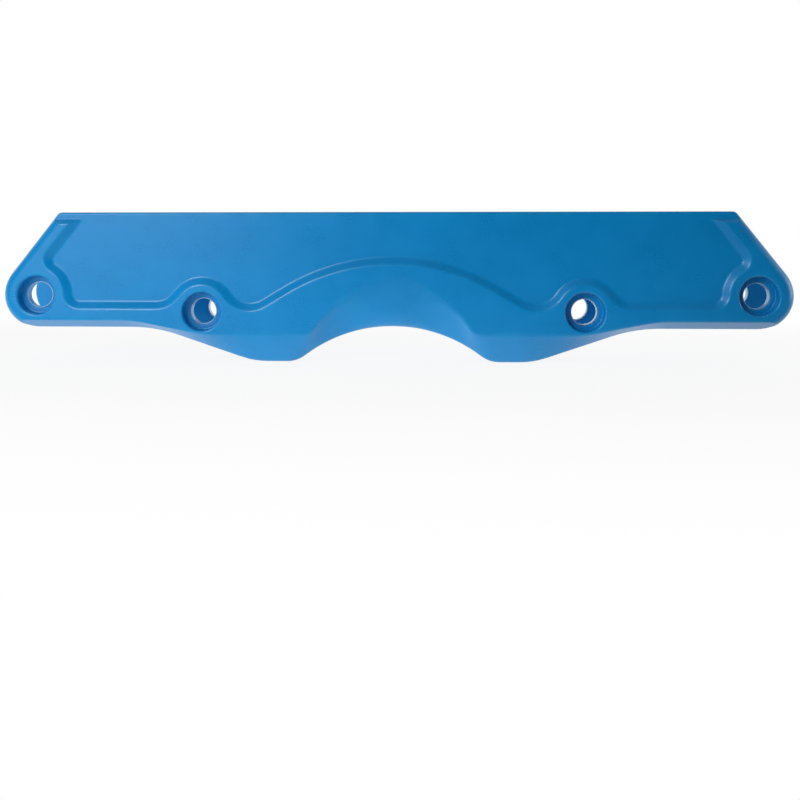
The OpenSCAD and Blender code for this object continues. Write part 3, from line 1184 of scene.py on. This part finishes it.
@dataclass(frozen=True)
class MouldedNylon:
    """Satin blue moulded nylon with flow marks, a fine grain and paler edges."""

    name: str = "moulded_blue_nylon"
    wear_name: str = "edge_wear"
    deep: Colour = (0.000, 0.242, 0.600)
    clear: Colour = (0.000, 0.278, 0.680)
    worn: Colour = (0.010, 0.330, 0.660)
    ior: float = 1.48
    roughness: float = 0.25
    cloud_rough: float = 0.08
    grain_rough: float = 0.06
    flow_size: float = 26.0
    flow_detail: float = 3.0
    flow_stretch: Spot = (0.35, 1, 1)
    flow_span: Span = (0.3, 0.7)
    flow_share: float = 0.6
    flow_bump: Span = (0.10, 0.35)
    cloud_size: float = 9.0
    cloud_detail: float = 1.0
    cloud_span: Span = (0.35, 0.65)
    cloud_share: float = 0.25
    peel_size: float = 1.6
    peel_detail: float = 1.0
    peel_bump: Span = (0.012, 0.5)
    grain_size: float = 0.55
    grain_detail: float = 2.0
    grain_share: float = 0.15
    grain_bump: Span = (0.024, 0.6)
    rub_least: float = 0.35
    rub_span: Span = (0.42, 0.62)
    rub_share: float = 0.40

    def build(self) -> bpy.types.Material:
        """Make the material.

        Returns:
            The body's material, which reads the mesh's edge wear.
        """
        material = bpy.data.materials.new(self.name)
        shader = Shader(material)
        flow_marks = shader.noise(self.flow_size, self.flow_detail, stretch=self.flow_stretch)
        cloud = shader.noise(self.cloud_size, self.cloud_detail)
        grain = shader.noise(self.grain_size, self.grain_detail)
        peel = shader.noise(self.peel_size, self.peel_detail)
        wear = shader.flow("ShaderNodeAttribute", {"attribute_name": self.wear_name}, {}, "Fac")
        patchy = self.rub_least + (1 - self.rub_least) * cloud.between(*self.rub_span)
        tone = (flow_marks.between(*self.flow_span) * self.flow_share
                + cloud.between(*self.cloud_span) * self.cloud_share + grain * self.grain_share)
        colour = shader.blend(tone, opaque(self.deep), opaque(self.clear))
        colour = shader.blend(wear * patchy * self.rub_share, colour, opaque(self.worn))
        rough = self.roughness + cloud * self.cloud_rough + (grain - 0.5) * self.grain_rough
        waves = shader.bump(flow_marks, *self.flow_bump)
        skin = shader.bump(peel, *self.peel_bump, waves)
        fine = shader.bump(grain, *self.grain_bump, skin)
        shader.surface({"Base Color": colour, "Roughness": rough, "Normal": fine, "IOR": self.ior})
        return material


@dataclass(frozen=True)
class TurnedMetal:
    """Bright turned aluminium that mirrors the blue round it, with fine rings round each sleeve.
    Its base colours are also tinted blue, a painted reflection of the blue moulding.
    """

    name: str = "turned_sleeve_metal"
    # Clean and stained colours of the metal, both tinted blue: a painted reflection of the blue
    # moulding round the sleeves.
    bright: Colour = (0.50, 0.76, 0.96)
    stained_with_painted_blue_reflection: Colour = (0.38, 0.62, 0.84)
    metallic: float = 0.4
    roughness: float = 0.20
    stain_rough: float = 0.08
    ring_rough: float = 0.04
    ring_size: float = 0.16
    ring_detail: float = 2.0
    ring_stretch: Spot = (0.03, 1, 0.03)
    ring_bump: Span = (0.001, 0.3)
    stain_size: float = 1.8
    stain_detail: float = 3.0
    stain_grit: float = 0.6
    stain_span: Span = (0.35, 0.7)

    def build(self) -> bpy.types.Material:
        """Make the material.

        Returns:
            The sleeves' material.
        """
        material = bpy.data.materials.new(self.name)
        shader = Shader(material)
        rings = shader.noise(self.ring_size, self.ring_detail, stretch=self.ring_stretch)
        stain = shader.noise(self.stain_size, self.stain_detail, self.stain_grit)
        stained = stain.between(*self.stain_span)
        # Stains mix the clean colour with the stained one; both carry the painted blue reflection.
        colour = shader.blend(stained, opaque(self.bright), opaque(self.stained_with_painted_blue_reflection))
        rough = self.roughness + stain * self.stain_rough + rings * self.ring_rough
        shader.surface({"Base Color": colour, "Roughness": rough, "Metallic": self.metallic,
                        "Normal": shader.bump(rings, *self.ring_bump)})
        return material


@dataclass(frozen=True)
class PaleFloor:
    """A plain pale table: white to the camera but for the object's shadow, and softly glowing.

    The glow lights the object from below, more on the left, and is weaker right under the object,
    where a painted shadow dims it. What mirrors the table sees it white behind the object and dim
    in front of it.
    """

    name: str = "pale_floor"
    colour: Colour = (0.92, 0.92, 0.92)
    shade_share: float = 0.10
    shade_reach: Span = (0.10, 0.32)
    gloss_reach: Span = (-0.045, -0.012)
    gloss_front: float = 0.06
    gloss_back: float = 1.0
    glow_left: float = 0.95
    glow_right: float = 0.40
    glow_in_painted_shadow: float = 0.9
    glow_turn: Span = (0.0, 0.16)
    glow_start: Span = (0.0, 0.035)
    glow_reach: Span = (0.11, 0.28)

    def build(self) -> bpy.types.Material:
        """Make the material.

        Returns:
            The floor's material.
        """
        material = bpy.data.materials.new(self.name)
        shader = Shader(material)
        path = shader.node("ShaderNodeLightPath", {}, {})
        seen = Flow(shader, path.outputs["Is Camera Ray"])
        glossy = Flow(shader, path.outputs["Is Glossy Ray"])
        through = Flow(shader, path.outputs["Is Transmission Ray"])
        spot = shader.node("ShaderNodeSeparateXYZ", {}, {"Vector": shader.place()})
        across = Flow(shader, spot.outputs["Y"])
        away = across.math("ABSOLUTE", across)
        glow_share = 1 - seen * self.shade_share * (1 - away.between(*self.shade_reach))
        backward = across.between(*self.gloss_reach)
        mirrored = self.gloss_front + (self.gloss_back - self.gloss_front) * backward
        rightward = Flow(shader, spot.outputs["X"]).between(*self.glow_turn)
        table = self.glow_left + (self.glow_right - self.glow_left) * rightward
        # Painted shadow: the glow is weaker right under the object and fades back to full over
        # glow_start.
        out_of_painted_shadow = away.between(*self.glow_start)
        table = table * (self.glow_in_painted_shadow + (1 - self.glow_in_painted_shadow) * out_of_painted_shadow)
        table = table * (1 - away.between(*self.glow_reach))
        bright = seen + through + glossy * mirrored + (1 - seen - through - glossy) * table
        matt = shader.flow("ShaderNodeBsdfDiffuse", {}, {"Color": opaque(self.colour)})
        glow = shader.flow("ShaderNodeEmission", {}, {"Color": bright})
        mixed = shader.flow("ShaderNodeMixShader", {}, {0: glow_share, 1: matt, 2: glow})
        shader.node("ShaderNodeOutputMaterial", {}, {"Surface": mixed})
        return material


@dataclass(frozen=True)
class Lamp:
    """A soft square lamp that faces the object, in metres and watts, unseen by the camera."""

    name: str
    place: Spot
    size: float
    power: float
    mirrored: bool = True

    def hang(self) -> None:
        """Hang the lamp in the scene."""
        data = bpy.data.lights.new(self.name, "AREA")
        data.size = self.size
        data.energy = self.power
        lamp = bpy.data.objects.new(self.name, data)
        lamp.location = self.place
        lamp.rotation_euler = (-Vector(self.place)).to_track_quat("-Z", "Y").to_euler()
        lamp.visible_camera = False
        lamp.visible_glossy = self.mirrored
        bpy.context.scene.collection.objects.link(lamp)


@dataclass
class Studio:
    """The floor, the light and the camera."""

    floor_half: float = 4.0
    floor_z: float = -60.0
    sky_low: float = 0.05
    sky_high: float = 0.40
    sky_rise: Span = (0.05, 0.9)
    sky_turn: Span = (1.0, -0.6)
    sky_gloss: float = 0.3
    backdrop_rise: Span = (0.0, 0.5)
    lamps: tuple[Lamp, ...] = (
        Lamp("key", (-0.26, -0.50, 0.20), 0.18, 1.1),
        Lamp("fill", (-0.32, -0.28, -0.02), 0.2, 0.38, mirrored=False),
        Lamp("back", (0.26, 0.50, 0.20), 0.24, 1.3, mirrored=False),
        Lamp("card", (-0.22, -0.42, -0.02), 0.2, 0.12),
        Lamp("side", (0.50, -0.02, 0.02), 0.25, 0.6))
    eye_turn: float = 3.1
    eye_reach: float = 440.0
    aim: Spot = (0.0, -23.0, -14.3)
    lens: float = 50.3
    sensor_w: float = 36.0
    shift_x: float = 0.0106
    shift_y: float = -0.19
    near: float = 0.01

    def floor(self) -> None:
        """Lay the floor under the humps."""
        half = self.floor_half
        mesh = bpy.data.meshes.new("floor")
        mesh.from_pydata([(-half, -half, 0), (half, -half, 0), (half, half, 0), (-half, half, 0)],
                         [], [(0, 1, 2, 3)])
        mesh.materials.append(PaleFloor().build())
        floor = bpy.data.objects.new("floor", mesh)
        floor.location.z = self.floor_z * MM
        bpy.context.scene.collection.objects.link(floor)

    def light(self) -> None:
        """Light the object dimly from all round, more from the upper left, and hang the lamps."""
        world = bpy.data.worlds.new("white_room")
        bpy.context.scene.world = world
        shader = Shader(world)
        path = shader.node("ShaderNodeLightPath", {}, {})
        ways = shader.node("ShaderNodeTexCoord", {}, {})
        way = shader.node("ShaderNodeSeparateXYZ", {}, {"Vector": ways.outputs["Generated"]})
        overhead = Flow(shader, way.outputs["Z"]).between(*self.sky_rise)
        overhead = overhead * Flow(shader, way.outputs["X"]).between(*self.sky_turn)
        behind = Flow(shader, way.outputs["Y"]).between(*self.backdrop_rise)
        glossy = Flow(shader, path.outputs["Is Glossy Ray"])
        ambient = self.sky_low + overhead * (self.sky_high - self.sky_low)
        ambient = ambient * (1 - glossy * (1 - self.sky_gloss))
        seen = Flow(shader, path.outputs["Is Camera Ray"])
        seen = seen.math("MAXIMUM", seen, path.outputs["Is Transmission Ray"])
        seen = seen.math("MAXIMUM", seen, behind * glossy)
        bright = ambient + seen * (1 - ambient)
        sky = shader.flow("ShaderNodeBackground", {}, {"Color": bright})
        shader.node("ShaderNodeOutputWorld", {}, {"Surface": sky})
        for lamp in self.lamps:
            lamp.hang()

    def camera(self) -> None:
        """Set up the camera at the photographed angle."""
        turn = math.radians(self.eye_turn)
        back = Vector((math.sin(turn), -math.cos(turn), 0))
        lens = bpy.data.cameras.new("camera")
        lens.lens = self.lens
        lens.sensor_width = self.sensor_w
        lens.shift_x = self.shift_x
        lens.shift_y = self.shift_y
        lens.clip_start = self.near
        eye = bpy.data.objects.new("camera", lens)
        eye.location = (Vector(self.aim) + back * self.eye_reach) * MM
        eye.rotation_euler = (-back).to_track_quat("-Z", "Y").to_euler()
        bpy.context.scene.collection.objects.link(eye)
        bpy.context.scene.camera = eye
        bpy.context.scene.view_settings.view_transform = "Standard"


def main() -> None:
    """Build the studio and every piece."""
    logging.basicConfig(level=logging.INFO, format="%(name)s: %(message)s")
    studio = Studio()
    studio.camera()
    studio.light()
    studio.floor()
    pieces = [MouldedBody().build(MouldedNylon()), *AxleSleeves().build(TurnedMetal())]
    for piece in pieces:
        log.info("%s: %d faces", piece.name, len(piece.data.polygons))


if __name__ == "__main__":
    main()
